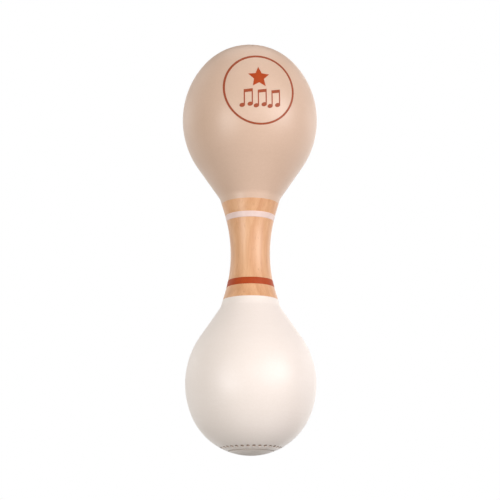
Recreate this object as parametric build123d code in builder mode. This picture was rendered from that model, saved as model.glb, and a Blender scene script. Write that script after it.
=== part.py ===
from build123d import *
from math import asin, atan2, cos, degrees, radians, sin, sqrt, tan
import os

os.makedirs("parts", exist_ok=True)

# Double-ended baby rattle. Millimetres, +Z up along the turning axis,
# origin at the middle of the grip, taupe bulb at the top.

# Handle
waist_radius = 7.05
upper_waist_arc = 55.4
lower_waist_arc = 48.2
neck_taper = 17.1
upper_taper_length = 4.35
lower_taper_length = 4.8
upper_paint_line = 18.7
lower_paint_line = 16.6
tenon_radius = 5.0
tenon_chamfer = 0.6
glue_gap = 0.1

# Bulbs
upper_bulb_radius = 24.53
upper_bulb_half_length = 27.95
upper_cone_angle = 34.3
lower_bulb_radius = 23.1
lower_bulb_half_length = 25.2
lower_cone_angle = 34.6
end_arc = 22.55
shoulder_arc = 4.2
wall = 4.0
floor_depth = 7.6

# End plugs and sound holes
plug_radius = 7.9
plug_lip_depth = 2.4
spigot_radius = 6.9
plug_gap = 0.07
seam_chamfer = 0.25
sound_hole_count = 32
sound_hole_radius = 0.6
sound_hole_circle = 10.35

# Beads
bead_radius = 2.9
bead_spacing = 6.2
bead_rest_gap = 0.05
outer_bead_count = 6


class BulbOutline:
    """The turned outline of one bulb: shoulder arc, cone, side arc and end arc.

    Heights run from the middle of the grip towards the bulb's end.
    """

    def __init__(self, waist_arc, taper_length, paint_line, bulb_radius, half_length, cone_angle):
        taper = radians(neck_taper)
        cone = radians(cone_angle)
        self.cone_angle = cone_angle
        # the side arc is widest at the bulb's middle and meets the end arc smoothly
        end_offset = half_length - end_arc
        self.side_arc = (bulb_radius**2 + end_offset**2 - end_arc**2) / (2 * (bulb_radius - end_arc))
        side_offset = self.side_arc - bulb_radius
        self.side_angle = degrees(atan2(end_offset, side_offset))
        # the neck: waist arc, then a straight taper, then the shoulder arc
        self.taper_radius = waist_radius + waist_arc * (1 - cos(taper))
        self.taper_height = waist_arc * sin(taper)
        self.neck_radius = self.taper_radius + taper_length * sin(taper)
        self.neck_height = self.taper_height + taper_length * cos(taper)
        # the bulb meets the bare handle part of the way up the taper
        self.paint_line = paint_line
        self.paint_radius = self.taper_radius + (paint_line - self.taper_height) * tan(taper)
        shoulder_radius = self.neck_radius + shoulder_arc * (cos(taper) - cos(cone))
        shoulder_height = self.neck_height + shoulder_arc * (sin(cone) - sin(taper))
        # the cone ends where it touches the side arc
        cone_radius = self.side_arc * cos(cone) - side_offset
        self.cone_length = (cone_radius - shoulder_radius) / sin(cone)
        self.middle = shoulder_height + self.cone_length * cos(cone) + self.side_arc * sin(cone)
        self.end_centre = self.middle + end_offset
        # the hollow follows the outside at the wall's thickness and has a flat floor
        self.floor = self.neck_height + floor_depth
        self.inner_cone_radius = (self.side_arc - wall) * cos(cone) - side_offset
        self.inner_cone_height = self.middle - (self.side_arc - wall) * sin(cone)
        self.floor_radius = self.inner_cone_radius - (self.inner_cone_height - self.floor) * tan(cone)
        self.ceiling = self.end_centre + sqrt((end_arc - wall) ** 2 - step_radius**2)
        self.ledge = self.surface(bore_radius) - plug_lip_depth

    def surface(self, radius):
        """Height of the rounded end at a distance from the axis."""
        return self.end_centre + sqrt(end_arc**2 - radius**2)


socket_radius = tenon_radius + glue_gap
bore_radius = plug_radius + plug_gap
step_radius = spigot_radius + plug_gap
seam_radius = bore_radius + seam_chamfer
taper_direction = (sin(radians(neck_taper)), cos(radians(neck_taper)))
inner_step_angle = degrees(asin(step_radius / (end_arc - wall)))
first_hole_angle = 180 / sound_hole_count

upper = BulbOutline(
    upper_waist_arc,
    upper_taper_length,
    upper_paint_line,
    upper_bulb_radius,
    upper_bulb_half_length,
    upper_cone_angle,
)
lower = BulbOutline(
    lower_waist_arc,
    lower_taper_length,
    lower_paint_line,
    lower_bulb_radius,
    lower_bulb_half_length,
    lower_cone_angle,
)

# Profiles above the grip are drawn looking along +Y. Those below it use the same
# heights on a plane whose vertical points down.
upper_profile = Plane.XZ
lower_profile = Plane(origin=(0, 0, 0), x_dir=(1, 0, 0), z_dir=(0, 1, 0))

# The handle is turned from one piece of wood, with a tenon at each end.
with BuildPart() as handle:
    with BuildSketch(upper_profile):
        with BuildLine():
            Polyline(
                (0, -lower.floor),
                (tenon_radius, -lower.floor),
                (tenon_radius, -lower.paint_line),
                (lower.paint_radius, -lower.paint_line),
                (lower.taper_radius, -lower.taper_height),
            )
            lower_waist = JernArc(
                start=(lower.taper_radius, -lower.taper_height),
                tangent=(-taper_direction[0], taper_direction[1]),
                radius=lower_waist_arc,
                arc_size=-neck_taper,
            )
            upper_waist = JernArc(
                start=lower_waist @ 1,
                tangent=lower_waist % 1,
                radius=upper_waist_arc,
                arc_size=-neck_taper,
            )
            Polyline(
                upper_waist @ 1,
                (upper.paint_radius, upper.paint_line),
                (tenon_radius, upper.paint_line),
                (tenon_radius, upper.floor),
                (0, upper.floor),
                (0, -lower.floor),
            )
        make_face()
    revolve(axis=Axis.Z)
    tenon_ends = handle.edges().filter_by(GeomType.CIRCLE).group_by(Axis.Z)
    chamfer(tenon_ends[0] + tenon_ends[-1], length=tenon_chamfer)
handle.part.label = "handle"
export_step(handle.part, "parts/handle.step")

# Each bulb is turned hollow through its outer end and glued on to a tenon.
with BuildPart() as upper_bulb:
    with BuildSketch(upper_profile):
        with BuildLine():
            taper = Line((upper.paint_radius, upper.paint_line), (upper.neck_radius, upper.neck_height))
            shoulder = JernArc(
                start=taper @ 1,
                tangent=taper_direction,
                radius=shoulder_arc,
                arc_size=neck_taper - upper.cone_angle,
            )
            cone = Line(shoulder @ 1, shoulder @ 1 + upper.cone_length * (shoulder % 1))
            side = JernArc(
                start=cone @ 1,
                tangent=cone % 1,
                radius=upper.side_arc,
                arc_size=upper.cone_angle + upper.side_angle,
            )
            RadiusArc(side @ 1, (seam_radius, upper.surface(seam_radius)), -end_arc)
            Polyline(
                (seam_radius, upper.surface(seam_radius)),
                (bore_radius, upper.surface(bore_radius) - seam_chamfer),
                (bore_radius, upper.ledge),
                (step_radius, upper.ledge),
                (step_radius, upper.ceiling),
            )
            inner_end = JernArc(
                start=(step_radius, upper.ceiling),
                tangent=(upper.ceiling - upper.end_centre, -step_radius),
                radius=end_arc - wall,
                arc_size=upper.side_angle + inner_step_angle - 90,
            )
            inner_side = JernArc(
                start=inner_end @ 1,
                tangent=inner_end % 1,
                radius=upper.side_arc - wall,
                arc_size=-upper.cone_angle - upper.side_angle,
            )
            Polyline(
                inner_side @ 1,
                (upper.floor_radius, upper.floor),
                (socket_radius, upper.floor),
                (socket_radius, upper.paint_line),
                (upper.paint_radius, upper.paint_line),
            )
        make_face()
    revolve(axis=Axis.Z)
    with BuildSketch(Plane.XY.offset(upper.end_centre)):
        with PolarLocations(sound_hole_circle, sound_hole_count, start_angle=first_hole_angle):
            Circle(sound_hole_radius)
    extrude(amount=end_arc, mode=Mode.SUBTRACT)
upper_bulb.part.label = "upper_bulb"
export_step(upper_bulb.part, "parts/upper_bulb.step")

with BuildPart() as lower_bulb:
    with BuildSketch(lower_profile):
        with BuildLine():
            taper = Line((lower.paint_radius, lower.paint_line), (lower.neck_radius, lower.neck_height))
            shoulder = JernArc(
                start=taper @ 1,
                tangent=taper_direction,
                radius=shoulder_arc,
                arc_size=neck_taper - lower.cone_angle,
            )
            cone = Line(shoulder @ 1, shoulder @ 1 + lower.cone_length * (shoulder % 1))
            side = JernArc(
                start=cone @ 1,
                tangent=cone % 1,
                radius=lower.side_arc,
                arc_size=lower.cone_angle + lower.side_angle,
            )
            RadiusArc(side @ 1, (seam_radius, lower.surface(seam_radius)), -end_arc)
            Polyline(
                (seam_radius, lower.surface(seam_radius)),
                (bore_radius, lower.surface(bore_radius) - seam_chamfer),
                (bore_radius, lower.ledge),
                (step_radius, lower.ledge),
                (step_radius, lower.ceiling),
            )
            inner_end = JernArc(
                start=(step_radius, lower.ceiling),
                tangent=(lower.ceiling - lower.end_centre, -step_radius),
                radius=end_arc - wall,
                arc_size=lower.side_angle + inner_step_angle - 90,
            )
            inner_side = JernArc(
                start=inner_end @ 1,
                tangent=inner_end % 1,
                radius=lower.side_arc - wall,
                arc_size=-lower.cone_angle - lower.side_angle,
            )
            Polyline(
                inner_side @ 1,
                (lower.floor_radius, lower.floor),
                (socket_radius, lower.floor),
                (socket_radius, lower.paint_line),
                (lower.paint_radius, lower.paint_line),
            )
        make_face()
    revolve(axis=Axis.Z)
    with BuildSketch(Plane.XY.offset(-lower.end_centre)):
        with PolarLocations(sound_hole_circle, sound_hole_count, start_angle=first_hole_angle):
            Circle(sound_hole_radius)
    extrude(amount=-end_arc, mode=Mode.SUBTRACT)
lower_bulb.part.label = "lower_bulb"
export_step(lower_bulb.part, "parts/lower_bulb.step")

# A domed plug with a lip closes each bulb after the beads are in.
with BuildPart() as upper_plug:
    with BuildSketch(upper_profile):
        with BuildLine():
            Polyline(
                (0, upper.surface(0)),
                (0, upper.ceiling),
                (spigot_radius, upper.ceiling),
                (spigot_radius, upper.ledge),
                (plug_radius, upper.ledge),
                (plug_radius, upper.surface(plug_radius)),
            )
            RadiusArc((plug_radius, upper.surface(plug_radius)), (0, upper.surface(0)), -end_arc)
        make_face()
    revolve(axis=Axis.Z)
    chamfer(upper_plug.edges().filter_by(Plane.XY).sort_by(Axis.Z)[-1], length=seam_chamfer)
upper_plug.part.label = "upper_plug"
export_step(upper_plug.part, "parts/upper_plug.step")

with BuildPart() as lower_plug:
    with BuildSketch(lower_profile):
        with BuildLine():
            Polyline(
                (0, lower.surface(0)),
                (0, lower.ceiling),
                (spigot_radius, lower.ceiling),
                (spigot_radius, lower.ledge),
                (plug_radius, lower.ledge),
                (plug_radius, lower.surface(plug_radius)),
            )
            RadiusArc((plug_radius, lower.surface(plug_radius)), (0, lower.surface(0)), -end_arc)
        make_face()
    revolve(axis=Axis.Z)
    chamfer(lower_plug.edges().filter_by(Plane.XY).sort_by(Axis.Z)[0], length=seam_chamfer)
lower_plug.part.label = "lower_plug"
export_step(lower_plug.part, "parts/lower_plug.step")

# Loose beads, six round a middle one, at rest on the flat floor of each hollow.
# In the upper bulb that is the bored floor and the tenon's end, in the lower
# bulb the plug's inner face.
bead_places = [(0, 0)]
for index in range(outer_bead_count):
    angle = radians(index * 360 / outer_bead_count)
    bead_places.append((bead_spacing * cos(angle), bead_spacing * sin(angle)))

chamber_floors = {"upper": upper.floor, "lower": -lower.ceiling}
for chamber, chamber_floor in chamber_floors.items():
    bead_height = chamber_floor + bead_rest_gap + bead_radius
    for number, (x, y) in enumerate(bead_places, start=1):
        with BuildPart() as bead:
            with Locations((x, y, bead_height)):
                Sphere(bead_radius)
        bead.part.label = f"{chamber}_bead_{number}"
        export_step(bead.part, f"parts/{chamber}_bead_{number}.step")
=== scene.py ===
import math

import bpy
from mathutils import Matrix, Vector
from mathutils.geometry import delaunay_2d_cdt


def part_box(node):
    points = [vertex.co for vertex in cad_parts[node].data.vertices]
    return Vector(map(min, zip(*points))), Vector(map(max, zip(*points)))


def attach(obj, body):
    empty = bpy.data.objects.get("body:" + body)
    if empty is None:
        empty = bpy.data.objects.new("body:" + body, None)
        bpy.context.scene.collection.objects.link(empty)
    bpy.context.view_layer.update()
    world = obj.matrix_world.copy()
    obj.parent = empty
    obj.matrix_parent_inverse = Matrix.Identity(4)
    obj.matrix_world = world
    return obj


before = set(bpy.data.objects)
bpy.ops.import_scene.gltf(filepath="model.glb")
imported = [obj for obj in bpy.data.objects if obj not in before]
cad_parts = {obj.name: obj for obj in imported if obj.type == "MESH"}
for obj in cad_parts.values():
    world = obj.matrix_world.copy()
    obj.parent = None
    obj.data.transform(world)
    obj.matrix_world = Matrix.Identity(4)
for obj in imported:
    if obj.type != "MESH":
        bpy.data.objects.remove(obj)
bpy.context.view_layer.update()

# A double-ended wooden baby rattle. Every CAD solid is shown as it is, in a procedural material. The painted
# rings and the printed emblem are added as thin films that follow the turned surface. Lengths are in metres,
# +Z points along the turning axis towards the taupe bulb, and the camera stands on the -Y side.

BODY = "rattle"
MM = 0.001
FILM = 0.05 * MM
SHARP_EDGE = math.radians(40)


# ---------------------------------------------------------------- outline of the CAD turning, in metres
# The printed films need the surface they lie on, so the CAD outline's arcs are repeated here.
WAIST_RADIUS = 7.05 * MM
NECK_TAPER = math.radians(17.1)
UPPER_WAIST_ARC = 55.4 * MM
LOWER_WAIST_ARC = 48.2 * MM
END_ARC = 22.55 * MM
SEAM_RADIUS = 7.94 * MM
UPPER_BULB_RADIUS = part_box("upper_bulb")[1].x
UPPER_HALF_LENGTH = 27.95 * MM
UPPER_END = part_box("upper_plug")[1].z
LOWER_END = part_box("lower_plug")[0].z
UPPER_MIDDLE = UPPER_END - UPPER_HALF_LENGTH
END_OFFSET = UPPER_HALF_LENGTH - END_ARC
SIDE_ARC = (UPPER_BULB_RADIUS**2 + END_OFFSET**2 - END_ARC**2) / (2 * (UPPER_BULB_RADIUS - END_ARC))


def neck_radius(z):
    """Radius of the handle at a height: waist arc, then straight taper."""
    waist_arc = UPPER_WAIST_ARC if z > 0 else LOWER_WAIST_ARC
    taper_start = waist_arc * math.sin(NECK_TAPER)
    if abs(z) < taper_start:
        return WAIST_RADIUS + waist_arc - math.sqrt(waist_arc**2 - z**2)
    start_radius = WAIST_RADIUS + waist_arc * (1 - math.cos(NECK_TAPER))
    return start_radius + (abs(z) - taper_start) * math.tan(NECK_TAPER)


def upper_bulb_radius(z):
    """Radius of the upper bulb at a height: side arc, then end arc."""
    height = z - UPPER_MIDDLE
    side_centre = UPPER_BULB_RADIUS - SIDE_ARC
    join = SIDE_ARC * math.sin(math.atan2(END_OFFSET, -side_centre))
    if height < join:
        return side_centre + math.sqrt(SIDE_ARC**2 - height**2)
    return math.sqrt(max(END_ARC**2 - (height - END_OFFSET) ** 2, 0.0))


# ---------------------------------------------------------------- mesh helpers
def mesh_object(name, vertices, faces, material):
    """A new object in the scene from plain vertices and faces."""
    mesh = bpy.data.meshes.new(name)
    mesh.from_pydata(vertices, [], faces)
    mesh.materials.append(material)
    mesh.validate()
    thing = bpy.data.objects.new(name, mesh)
    bpy.context.scene.collection.objects.link(thing)
    return thing


def lathe(name, section, material, segments=256):
    """Turns a closed section of (radius, height) points about Z into a smooth ring."""
    vertices = []
    for step in range(segments):
        turn = 2 * math.pi * step / segments
        vertices += [(r * math.cos(turn), r * math.sin(turn), z) for r, z in section]
    count = len(section)
    faces = []
    for step in range(segments):
        here = step * count
        there = (step + 1) % segments * count
        for point in range(count):
            after = (point + 1) % count
            faces.append((here + point, there + point, there + after, here + after))
    thing = mesh_object(name, vertices, faces, material)
    thing.data.shade_smooth()
    return thing


# ---------------------------------------------------------------- materials
def srgb(red, green, blue):
    """Linear colour from 0-255 display values."""
    def linear(value):
        value /= 255
        return value / 12.92 if value <= 0.04045 else ((value + 0.055) / 1.055) ** 2.4
    return (linear(red), linear(green), linear(blue), 1.0)


class Nodes:
    """A material with one Principled shader, and a short way to add nodes and link them."""

    def __init__(self, name):
        self.material = bpy.data.materials.new(name)
        self.material.use_nodes = True
        self.tree = self.material.node_tree
        self.tree.nodes.clear()
        self.output = self.tree.nodes.new("ShaderNodeOutputMaterial")
        self.shader = self.tree.nodes.new("ShaderNodeBsdfPrincipled")
        self.link(self.shader.outputs["BSDF"], self.output.inputs["Surface"])
        self.place = self.tree.nodes.new("ShaderNodeTexCoord").outputs["Object"]

    def link(self, source, target):
        self.tree.links.new(source, target)

    def put(self, value, socket):
        """Links an output to a socket, or sets a plain value on it."""
        if isinstance(value, bpy.types.NodeSocket):
            self.link(value, socket)
        else:
            socket.default_value = value

    def maths(self, operation, first, second=0.0, third=0.0):
        node = self.tree.nodes.new("ShaderNodeMath")
        node.operation = operation
        for value, socket in zip((first, second, third), node.inputs):
            self.put(value, socket)
        return node.outputs[0]

    def vector(self, operation, first, second=(0.0, 0.0, 0.0)):
        node = self.tree.nodes.new("ShaderNodeVectorMath")
        node.operation = operation
        self.put(first, node.inputs[0])
        self.put(second, node.inputs[1])
        return node.outputs["Value"] if operation == "LENGTH" else node.outputs["Vector"]

    def noise(self, place, scale, detail=2.0, roughness=0.5, colour=False):
        node = self.tree.nodes.new("ShaderNodeTexNoise")
        node.inputs["Scale"].default_value = scale
        node.inputs["Detail"].default_value = detail
        node.inputs["Roughness"].default_value = roughness
        self.link(place, node.inputs["Vector"])
        return node.outputs["Color" if colour else "Fac"]

    def spread(self, value, low, high, bottom=0.0, top=1.0):
        """Maps low..high to bottom..top with smooth ends."""
        node = self.tree.nodes.new("ShaderNodeMapRange")
        node.interpolation_type = "SMOOTHSTEP"
        self.put(value, node.inputs["Value"])
        for name, number in (("From Min", low), ("From Max", high), ("To Min", bottom), ("To Max", top)):
            node.inputs[name].default_value = number
        return node.outputs["Result"]

    def mix(self, factor, first, second, blend="MIX"):
        node = self.tree.nodes.new("ShaderNodeMix")
        node.data_type = "RGBA"
        node.blend_type = blend
        self.put(factor, node.inputs["Factor"])
        self.put(first, node.inputs["A"])
        self.put(second, node.inputs["B"])
        return node.outputs["Result"]

    def bump(self, height, distance, strength=1.0):
        node = self.tree.nodes.new("ShaderNodeBump")
        node.inputs["Distance"].default_value = distance
        node.inputs["Strength"].default_value = strength
        self.link(height, node.inputs["Height"])
        self.link(node.outputs["Normal"], self.shader.inputs["Normal"])


def wood_grain(nodes, light, dark, pore_colour):
    """Quiet straight-grained hardwood turned along Z, with faint growth rings round a far-off log centre.

    Gives the colour, the fibres and the pores as outputs, the last two for roughness and bump.
    """
    log_centre = (74 * MM, 118 * MM, 0.0)
    ring_spacing = 2.7 * MM
    ring_drift = (2.4 * MM, 2.4 * MM, 0.0)
    # the grain is long along Z, so its patterns are read from a place squeezed along Z
    stretched, a_little_stretched = (1.0, 1.0, 0.03), (1.0, 1.0, 0.12)
    ring_share, broad_share, fibre_share, pore_share = 0.26, 0.46, 0.28, 0.35
    along = nodes.vector("MULTIPLY", nodes.place, stretched)
    short = nodes.vector("MULTIPLY", nodes.place, a_little_stretched)
    drift = nodes.noise(short, 60.0, 2.0, colour=True)
    drift = nodes.vector("MULTIPLY", nodes.vector("SUBTRACT", drift, (0.5, 0.5, 0.5)), ring_drift)
    from_log = nodes.vector("ADD", nodes.vector("SUBTRACT", nodes.place, log_centre), drift)
    distance = nodes.vector("LENGTH", nodes.vector("MULTIPLY", from_log, stretched))
    rings = nodes.maths("FRACT", nodes.maths("DIVIDE", distance, ring_spacing))
    late_wood = nodes.maths("MULTIPLY", nodes.spread(rings, 0.1, 0.85), nodes.spread(rings, 1.0, 0.86))
    broad = nodes.spread(nodes.noise(along, 300.0, 3.0, 0.6), 0.3, 0.7)
    fibres = nodes.noise(along, 2100.0, 3.0, 0.65)
    pores = nodes.spread(nodes.noise(short, 3200.0, 1.0), 0.66, 0.76)
    shade = nodes.maths("MULTIPLY_ADD", late_wood, ring_share, nodes.maths("MULTIPLY", broad, broad_share))
    shade = nodes.maths("MULTIPLY_ADD", nodes.spread(fibres, 0.3, 0.7), fibre_share, shade)
    colour = nodes.mix(shade, light, dark)
    colour = nodes.mix(nodes.maths("MULTIPLY", pores, pore_share), colour, pore_colour)
    return colour, fibres, pores


def natural_wood():
    """The handle's bare wood under a thin satin lacquer."""
    nodes = Nodes("lacquered_hardwood")
    light, dark, pore_colour = srgb(233, 183, 138), srgb(211, 150, 103), srgb(170, 108, 66)
    colour, fibres, pores = wood_grain(nodes, light, dark, pore_colour)
    nodes.link(colour, nodes.shader.inputs["Base Color"])
    rough = nodes.maths("MULTIPLY_ADD", fibres, 0.14, 0.36)
    nodes.link(rough, nodes.shader.inputs["Roughness"])
    nodes.shader.inputs["Coat Weight"].default_value = 0.25
    nodes.shader.inputs["Coat Roughness"].default_value = 0.28
    raised, sunk = nodes.maths("MULTIPLY", fibres, 0.6), nodes.maths("MULTIPLY", pores, 0.7)
    nodes.bump(nodes.maths("SUBTRACT", raised, sunk), 0.035 * MM, 0.8)
    return nodes.material


def bead_wood():
    """Unfinished wood for the loose beads."""
    nodes = Nodes("bead_hardwood")
    colour, fibres, pores = wood_grain(nodes, srgb(222, 178, 134), srgb(188, 136, 92), srgb(140, 90, 55))
    nodes.link(colour, nodes.shader.inputs["Base Color"])
    nodes.link(nodes.maths("MULTIPLY_ADD", fibres, 0.15, 0.5), nodes.shader.inputs["Roughness"])
    nodes.bump(nodes.maths("MULTIPLY_ADD", pores, -0.6, fibres), 0.03 * MM, 0.8)
    return nodes.material


def satin_paint(name, colour, deeper, end_height, roughness, coat):
    """Sprayed satin lacquer on turned wood: painted shade as a dark ring round the plug's seam, and stained
    wood in the drilled holes.
    """
    nodes = Nodes(name)
    hole_wood, gap_shade = srgb(188, 164, 145), srgb(120, 100, 86)
    paint_skin, bare_depth = 0.03 * MM, 0.12 * MM
    line_core, line_edge, line_strength = 0.14 * MM, 0.3 * MM, 0.55
    round_end_start, round_end_full = 12 * MM, 13 * MM
    cloud = nodes.spread(nodes.noise(nodes.place, 42.0, 3.0, 0.55), 0.3, 0.7)
    speck = nodes.noise(nodes.place, 1500.0, 2.0, 0.6)
    turned = nodes.noise(nodes.vector("MULTIPLY", nodes.place, (0.05, 0.05, 1.0)), 900.0, 2.0, 0.6)
    clouding = nodes.maths("MULTIPLY", cloud, 0.5)
    tint = nodes.maths("MULTIPLY_ADD", nodes.spread(speck, 0.35, 0.65), 0.25, clouding)
    paint = nodes.mix(nodes.maths("MULTIPLY_ADD", turned, 0.25, tint), colour, deeper)
    # what lies deeper than the paint under the round end's surface is the drilled holes' bare walls
    end_centre = (0.0, 0.0, end_height - math.copysign(END_ARC, end_height))
    from_centre = nodes.vector("LENGTH", nodes.vector("SUBTRACT", nodes.place, end_centre))
    depth = nodes.maths("SUBTRACT", END_ARC, from_centre)
    separate = nodes.tree.nodes.new("ShaderNodeSeparateXYZ")
    nodes.link(nodes.place, separate.inputs[0])
    outward = nodes.maths("MULTIPLY", separate.outputs["Z"], math.copysign(1.0, end_height))
    centre_height = abs(end_centre[2])
    at_end = nodes.spread(outward, centre_height + round_end_start, centre_height + round_end_full)
    bare = nodes.maths("MULTIPLY", at_end, nodes.spread(depth, paint_skin, bare_depth))
    paint = nodes.mix(bare, paint, hole_wood)
    # the dark ring round the plug's seam is painted shade: the shade of the gap between plug and bulb, laid
    # into the paint's colour
    from_axis = nodes.vector("LENGTH", nodes.vector("MULTIPLY", nodes.place, (1.0, 1.0, 0.0)))
    off_seam = nodes.maths("ABSOLUTE", nodes.maths("SUBTRACT", from_axis, SEAM_RADIUS))
    seam = nodes.maths("MULTIPLY", at_end, nodes.spread(off_seam, line_core, line_edge, line_strength, 0.0))
    nodes.link(nodes.mix(seam, paint, gap_shade), nodes.shader.inputs["Base Color"])
    rough = nodes.maths("MULTIPLY_ADD", speck, 0.1, roughness - 0.05)
    nodes.link(rough, nodes.shader.inputs["Roughness"])
    nodes.shader.inputs["Coat Weight"].default_value = coat
    nodes.shader.inputs["Coat Roughness"].default_value = 0.32
    peel = nodes.noise(nodes.place, 620.0, 2.0, 0.5)
    height = nodes.maths("MULTIPLY_ADD", turned, 0.5, peel)
    nodes.bump(nodes.maths("MULTIPLY_ADD", speck, 0.12, height), 0.02 * MM, 0.6)
    return nodes.material


def printing_ink(name, colour, deeper, roughness):
    """Thin ink, pad-printed or laid on as a band: satin, and a little uneven in strength."""
    nodes = Nodes(name)
    patches = nodes.spread(nodes.noise(nodes.place, 600.0, 3.0, 0.6), 0.3, 0.7)
    streaks = nodes.noise(nodes.vector("MULTIPLY", nodes.place, (1.0, 1.0, 0.05)), 1800.0, 2.0)
    blend = nodes.maths("MULTIPLY_ADD", streaks, 0.4, nodes.maths("MULTIPLY", patches, 0.5))
    nodes.link(nodes.mix(blend, colour, deeper), nodes.shader.inputs["Base Color"])
    nodes.link(nodes.maths("MULTIPLY_ADD", patches, 0.08, roughness), nodes.shader.inputs["Roughness"])
    nodes.shader.inputs["Specular IOR Level"].default_value = 0.35
    nodes.bump(streaks, 0.015 * MM, 0.5)
    return nodes.material


wood = natural_wood()
bead = bead_wood()
taupe = satin_paint("taupe_satin_paint", srgb(222, 191, 168), srgb(214, 182, 157), UPPER_END, 0.42, 0.2)
white = satin_paint("white_satin_paint", srgb(247, 236, 227), srgb(241, 229, 218), LOWER_END, 0.45, 0.17)
red_ink = printing_ink("brick_red_ink", srgb(183, 72, 18), srgb(168, 62, 17), 0.5)
fine_ink = printing_ink("fine_line_ink", srgb(166, 78, 44), srgb(154, 70, 40), 0.5)
white_ink = printing_ink("off_white_ink", srgb(238, 214, 205), srgb(231, 204, 194), 0.4)

NODE_MATERIALS = {
    "handle": wood,
    "upper_bulb": taupe,
    "upper_plug": taupe,
    "lower_bulb": white,
    "lower_plug": white,
}
for name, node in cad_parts.items():
    material = NODE_MATERIALS.get(name, bead)
    node.data.materials.clear()
    node.data.materials.append(material)


# ---------------------------------------------------------------- painted rings on the handle
def painted_ring(name, low, high, material):
    """A film of paint round the neck with softly rounded edges, its underside just inside the wood."""
    steps = 12
    edge = 0.12 * MM
    height = high - low
    section = []
    for step in range(steps + 1):
        z = low + height * step / steps
        fall = min(min(z - low, high - z) / edge, 1.0)
        section.append((neck_radius(z) + FILM * math.sqrt(max(fall * (2 - fall), 0.0)), z))
    section += [(neck_radius(z) - FILM, z) for z in (high, (low + high) / 2, low)]
    ring = lathe(name, section, material)
    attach(ring, BODY)
    return ring


upper_ring = painted_ring("upper_painted_ring", 12.23 * MM, 14.25 * MM, white_ink)
lower_ring = painted_ring("lower_painted_ring", -12.07 * MM, -9.52 * MM, red_ink)


# ---------------------------------------------------------------- printed emblem on the upper bulb
EMBLEM_TURN = math.radians(8.5)
EMBLEM_RISE = math.radians(-14.0)
EMBLEM_HEIGHT = 54.44 * MM
EMBLEM_RADIUS = 12.66 * MM
EMBLEM_STROKE = 0.7 * MM

# the flat artwork lies in the plane of emblem_right and emblem_up and is printed along print_direction
emblem_out = Vector((math.sin(EMBLEM_TURN), -math.cos(EMBLEM_TURN), 0.0))
emblem_centre = emblem_out * upper_bulb_radius(EMBLEM_HEIGHT) + Vector((0, 0, EMBLEM_HEIGHT))
print_direction = emblem_out * math.cos(EMBLEM_RISE) + Vector((0, 0, math.sin(EMBLEM_RISE)))
emblem_right = Vector((0, 0, 1)).cross(print_direction).normalized()
emblem_up = print_direction.cross(emblem_right)


def bulb_gap(point):
    """How far a point is outside the upper bulb, measured square to the axis."""
    return math.hypot(point.x, point.y) - upper_bulb_radius(point.z)


def bulb_normal(point):
    """Outward normal of the upper bulb's surface near a point."""
    step = 0.02 * MM
    slope = (upper_bulb_radius(point.z + step) - upper_bulb_radius(point.z - step)) / (2 * step)
    around = Vector((point.x, point.y, 0.0)).normalized()
    return (around - Vector((0, 0, slope))).normalized()


def print_point(u, v, lift):
    """Where a point of the flat artwork lands on the bulb, lifted along the normal."""
    start = emblem_centre + emblem_right * u + emblem_up * v
    near, far = -20 * MM, 3 * MM
    halvings = 40
    for _ in range(halvings):
        middle = (near + far) / 2
        if bulb_gap(start + print_direction * middle) < 0:
            near = middle
        else:
            far = middle
    landed = start + print_direction * near
    return landed + bulb_normal(landed) * lift


def disc_outline(centre, across, along, turn, count):
    """Points round an ellipse with the given half axes, turned in its plane."""
    points = []
    for step in range(count):
        angle = 2 * math.pi * step / count
        x, y = across * math.cos(angle), along * math.sin(angle)
        points.append((
            centre[0] + x * math.cos(turn) - y * math.sin(turn),
            centre[1] + x * math.sin(turn) + y * math.cos(turn),
        ))
    return points


def split_edges(outline, spacing):
    """Adds points along a straight-sided outline so that it can bend over the bulb."""
    points = []
    for start, end in zip(outline, outline[1:] + outline[:1]):
        length = math.dist(start, end)
        count = max(int(length / spacing), 1)
        points += [
            (start[0] + (end[0] - start[0]) * step / count, start[1] + (end[1] - start[1]) * step / count)
            for step in range(count)
        ]
    return points


def finish_print(name, vertices, faces, material):
    """Makes a printed film's object, smooth on top and crisp at its edge."""
    thing = mesh_object(name, vertices, faces, material)
    thing.data.shade_smooth()
    thing.data.set_sharp_from_angle(angle=SHARP_EDGE)
    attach(thing, BODY)


def printed_shape(name, outlines, grid, material):
    """Joins flat outlines into one artwork, meshes it finely and prints it on the bulb as a thin film."""
    inside_only, weld = 1, 1e-7
    vertices, faces = [], []
    for outline in outlines:
        faces.append(list(range(len(vertices), len(vertices) + len(outline))))
        vertices += [Vector(point) for point in outline]
    low = Vector((min(v.x for v in vertices), min(v.y for v in vertices)))
    high = Vector((max(v.x for v in vertices), max(v.y for v in vertices)))
    columns = int((high.x - low.x) / grid)
    rows = int((high.y - low.y) / grid)
    vertices += [
        Vector((low.x + (column + 0.5) * grid, low.y + (row + 0.5) * grid))
        for column in range(columns)
        for row in range(rows)
    ]
    flat, _, triangles, _, _, _ = delaunay_2d_cdt(vertices, [], faces, inside_only, weld)
    used = sorted({corner for triangle in triangles for corner in triangle})
    number = {corner: index for index, corner in enumerate(used)}
    top = [print_point(flat[corner].x, flat[corner].y, FILM) for corner in used]
    under = [print_point(flat[corner].x, flat[corner].y, -FILM) for corner in used]
    shift = len(used)
    solid = []
    edges = []
    for triangle in triangles:
        corners = [number[corner] for corner in triangle]
        solid.append(tuple(corners))
        solid.append(tuple(corner + shift for corner in reversed(corners)))
        edges += zip(corners, corners[1:] + corners[:1])
    # an edge that no neighbour shares is on the outline, and gets a wall down to the underside
    shared = set(edges)
    for start, end in edges:
        if (end, start) not in shared:
            solid.append((end, start, start + shift, end + shift))
    finish_print(name, top + under, solid, material)


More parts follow.
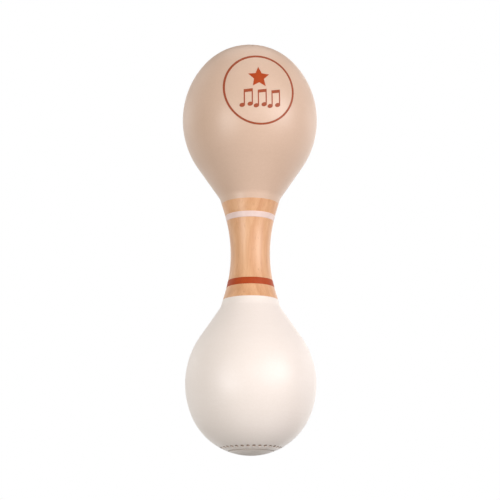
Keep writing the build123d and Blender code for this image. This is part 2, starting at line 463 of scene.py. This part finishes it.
def emblem_ring():
    """The plain printed ring round the emblem."""
    count = 240
    outer = [Vector(p) for p in disc_outline((0, 0), EMBLEM_RADIUS, EMBLEM_RADIUS, 0, count)]
    inner_radius = EMBLEM_RADIUS - EMBLEM_STROKE
    inner = [Vector(p) for p in disc_outline((0, 0), inner_radius, inner_radius, 0, count)]
    rows = [[a.lerp(b, blend) for a, b in zip(inner, outer)] for blend in (0.0, 0.35, 0.65, 1.0)]
    top = [print_point(p.x, p.y, FILM) for row in rows for p in row]
    under = [print_point(p.x, p.y, -FILM) for row in (rows[0], rows[-1]) for p in row]
    faces = []
    last = (len(rows) - 1) * count
    base = len(top)
    for step in range(count):
        after = (step + 1) % count
        for row in range(len(rows) - 1):
            here, there = row * count, (row + 1) * count
            faces.append((here + step, there + step, there + after, here + after))
        faces.append((step, after, base + after, base + step))
        faces.append((last + after, last + step, base + count + step, base + count + after))
        faces.append((base + step, base + after, base + count + after, base + count + step))
    finish_print("emblem_ring", top + under, faces, fine_ink)


def joined_notes(left, base):
    """Outlines of two joined music notes whose left head starts at a point of the artwork."""
    head_across, head_along, lean = 0.98 * MM, 0.72 * MM, math.radians(20)
    gap, climb, stem = 2.75 * MM, 0.5 * MM, 0.2 * MM
    beam_low, beam_high, tuck, spacing = base + 4.5 * MM, base + 5.6 * MM, 0.3 * MM, 0.4 * MM
    outlines = []
    stems = []
    for x, y in ((left, base), (left + gap, base + climb)):
        outlines.append(disc_outline((x, y), head_across, head_along, lean, 32))
        stem_x = x + head_across * math.cos(lean) - stem
        top = beam_high - tuck + (y - base)
        corners = [(stem_x - stem, y), (stem_x + stem, y), (stem_x + stem, top), (stem_x - stem, top)]
        outlines.append(split_edges(corners, spacing))
        stems.append(stem_x)
    beam = [
        (stems[0] - stem, beam_low),
        (stems[1] + stem, beam_low + climb),
        (stems[1] + stem, beam_high + climb),
        (stems[0] - stem, beam_high),
    ]
    outlines.append(split_edges(beam, spacing))
    return outlines


def star_outline(centre, outer, inner):
    """A five-pointed star with one point up."""
    points = []
    for step in range(10):
        reach = inner if step % 2 else outer
        angle = math.radians(90 + 36 * step)
        points.append((centre[0] + reach * math.cos(angle), centre[1] + reach * math.sin(angle)))
    return split_edges(points, 0.5 * MM)


def emblem_picture():
    """A plain star over a row of joined music notes."""
    grid = 0.45 * MM
    star_centre, star_point, star_notch = (-0.2 * MM, 4.3 * MM), 3.9 * MM, 1.85 * MM
    first_note, note_pitch, note_base = -6.2, 4.9, -5.9 * MM
    printed_shape("emblem_star", [star_outline(star_centre, star_point, star_notch)], grid, red_ink)
    for number in range(3):
        outlines = joined_notes((first_note + note_pitch * number) * MM, note_base)
        printed_shape(f"emblem_notes_{number + 1}", outlines, grid, fine_ink)


emblem_ring()
emblem_picture()


# ---------------------------------------------------------------- floor, lights and camera
LIGHT_DISTANCE = 1.0
KEY_TINT = (1.0, 0.972, 1.0)


def stage_floor(glow):
    """A pale round floor well below the object, which glows a little so that it stays pale in every view.

    The object's own light and reflections don't see it: softbox_under stands in for its bounce.
    """
    nodes = Nodes("pale_floor")
    mottling = nodes.noise(nodes.place, 3.0, 2.0)
    colour = nodes.mix(mottling, srgb(244, 244, 243), srgb(240, 240, 239))
    nodes.link(colour, nodes.shader.inputs["Base Color"])
    nodes.shader.inputs["Roughness"].default_value = 0.9
    nodes.shader.inputs["Emission Color"].default_value = (1.0, 1.0, 1.0, 1.0)
    nodes.shader.inputs["Emission Strength"].default_value = glow
    count, radius, height = 128, 7.0, -1.0
    rim = [(x, y, height) for x, y in disc_outline((0, 0), radius, radius, 0, count)]
    floor = mesh_object("floor", rim, [tuple(range(count))], nodes.material)
    floor.visible_diffuse = floor.visible_glossy = False


def soft_light(name, turn, rise, width, height, power, colour=(1.0, 1.0, 1.0)):
    """A softbox facing the object, turned to the right from the camera's side and raised, in degrees."""
    light = bpy.data.lights.new(name, "AREA")
    light.shape = "RECTANGLE"
    light.size, light.size_y, light.energy = width, height, power
    light.color = colour
    lamp = bpy.data.objects.new(name, light)
    bpy.context.scene.collection.objects.link(lamp)
    a, e = math.radians(turn), math.radians(rise)
    way = Vector((math.sin(a) * math.cos(e), -math.cos(a) * math.cos(e), math.sin(e)))
    lamp.location = way * LIGHT_DISTANCE
    lamp.rotation_euler = way.to_track_quat("Z", "Y").to_euler()


def white_world(strength):
    """A dim even fill, and a backdrop that only the camera sees.

    The backdrop is white behind the object, where the photo looks, and pale grey towards the other sides.
    """
    backdrop_range = (("From Min", 0.2), ("From Max", 0.75), ("To Min", 0.68), ("To Max", 1.0))
    world = bpy.data.worlds.new("studio")
    bpy.context.scene.world = world
    world.use_nodes = True
    tree = world.node_tree
    tree.nodes.clear()
    output = tree.nodes.new("ShaderNodeOutputWorld")
    seen = tree.nodes.new("ShaderNodeBackground")
    seen.inputs["Color"].default_value = (1, 1, 1, 1)
    direction = tree.nodes.new("ShaderNodeSeparateXYZ")
    tree.links.new(tree.nodes.new("ShaderNodeTexCoord").outputs["Generated"], direction.inputs[0])
    backdrop = tree.nodes.new("ShaderNodeMapRange")
    for socket, value in backdrop_range:
        backdrop.inputs[socket].default_value = value
    tree.links.new(direction.outputs["Y"], backdrop.inputs["Value"])
    tree.links.new(backdrop.outputs["Result"], seen.inputs["Strength"])
    fill = tree.nodes.new("ShaderNodeBackground")
    fill.inputs["Color"].default_value = (1.0, 0.985, 0.965, 1)
    fill.inputs["Strength"].default_value = strength
    choose = tree.nodes.new("ShaderNodeMixShader")
    rays = tree.nodes.new("ShaderNodeLightPath")
    tree.links.new(rays.outputs["Is Camera Ray"], choose.inputs["Fac"])
    tree.links.new(fill.outputs[0], choose.inputs[1])
    tree.links.new(seen.outputs[0], choose.inputs[2])
    tree.links.new(choose.outputs[0], output.inputs["Surface"])


def main_camera():
    """The photo's view: from a little below, looking along +Y."""
    rise = math.radians(-12.78)
    distance = 0.54
    target = Vector((-0.1 * MM, 0, 1.9 * MM))
    roll = math.radians(-0.2)
    back = Vector((0, -math.cos(rise), math.sin(rise)))
    data = bpy.data.cameras.new("camera")
    data.lens = 108.26
    data.sensor_width = 36
    data.clip_start, data.clip_end = 0.05, 50
    camera = bpy.data.objects.new("camera", data)
    bpy.context.scene.collection.objects.link(camera)
    camera.rotation_mode = "QUATERNION"
    aim = (-back).to_track_quat("-Z", "Y")
    camera.rotation_quaternion = aim @ Matrix.Rotation(roll, 3, "Z").to_quaternion()
    camera.location = target + back * distance
    bpy.context.scene.camera = camera


stage_floor(0.5)
soft_light("softbox_right", 52, 10, 0.63, 0.45, 5.75, KEY_TINT)
soft_light("softbox_front", 16, 10, 0.75, 0.45, 2.45, KEY_TINT)
soft_light("softbox_left", -38, -6, 0.45, 0.45, 3.5)
soft_light("strip_left", -37, 6, 0.3, 0.45, 0.6)
soft_light("softbox_over", 180, 75, 0.7, 0.7, 1.4)
soft_light("softbox_under", 0, -80, 1.6, 1.6, 1.65)
soft_light("side_right_high", 123, 30, 0.7, 0.8, 0.85)
soft_light("side_right", 130, 0, 0.8, 0.9, 1.9)
soft_light("side_left_high", -120, 32, 0.7, 0.8, 1.2)
soft_light("side_left", -127, 0, 0.8, 0.9, 1.7)
soft_light("rim_right", 162, 0, 0.4, 1.4, 2.3)
soft_light("rim_left", -162, 0, 0.4, 1.4, 1.5)
white_world(0.25)
main_camera()
bpy.context.scene.view_settings.view_transform = "Standard"
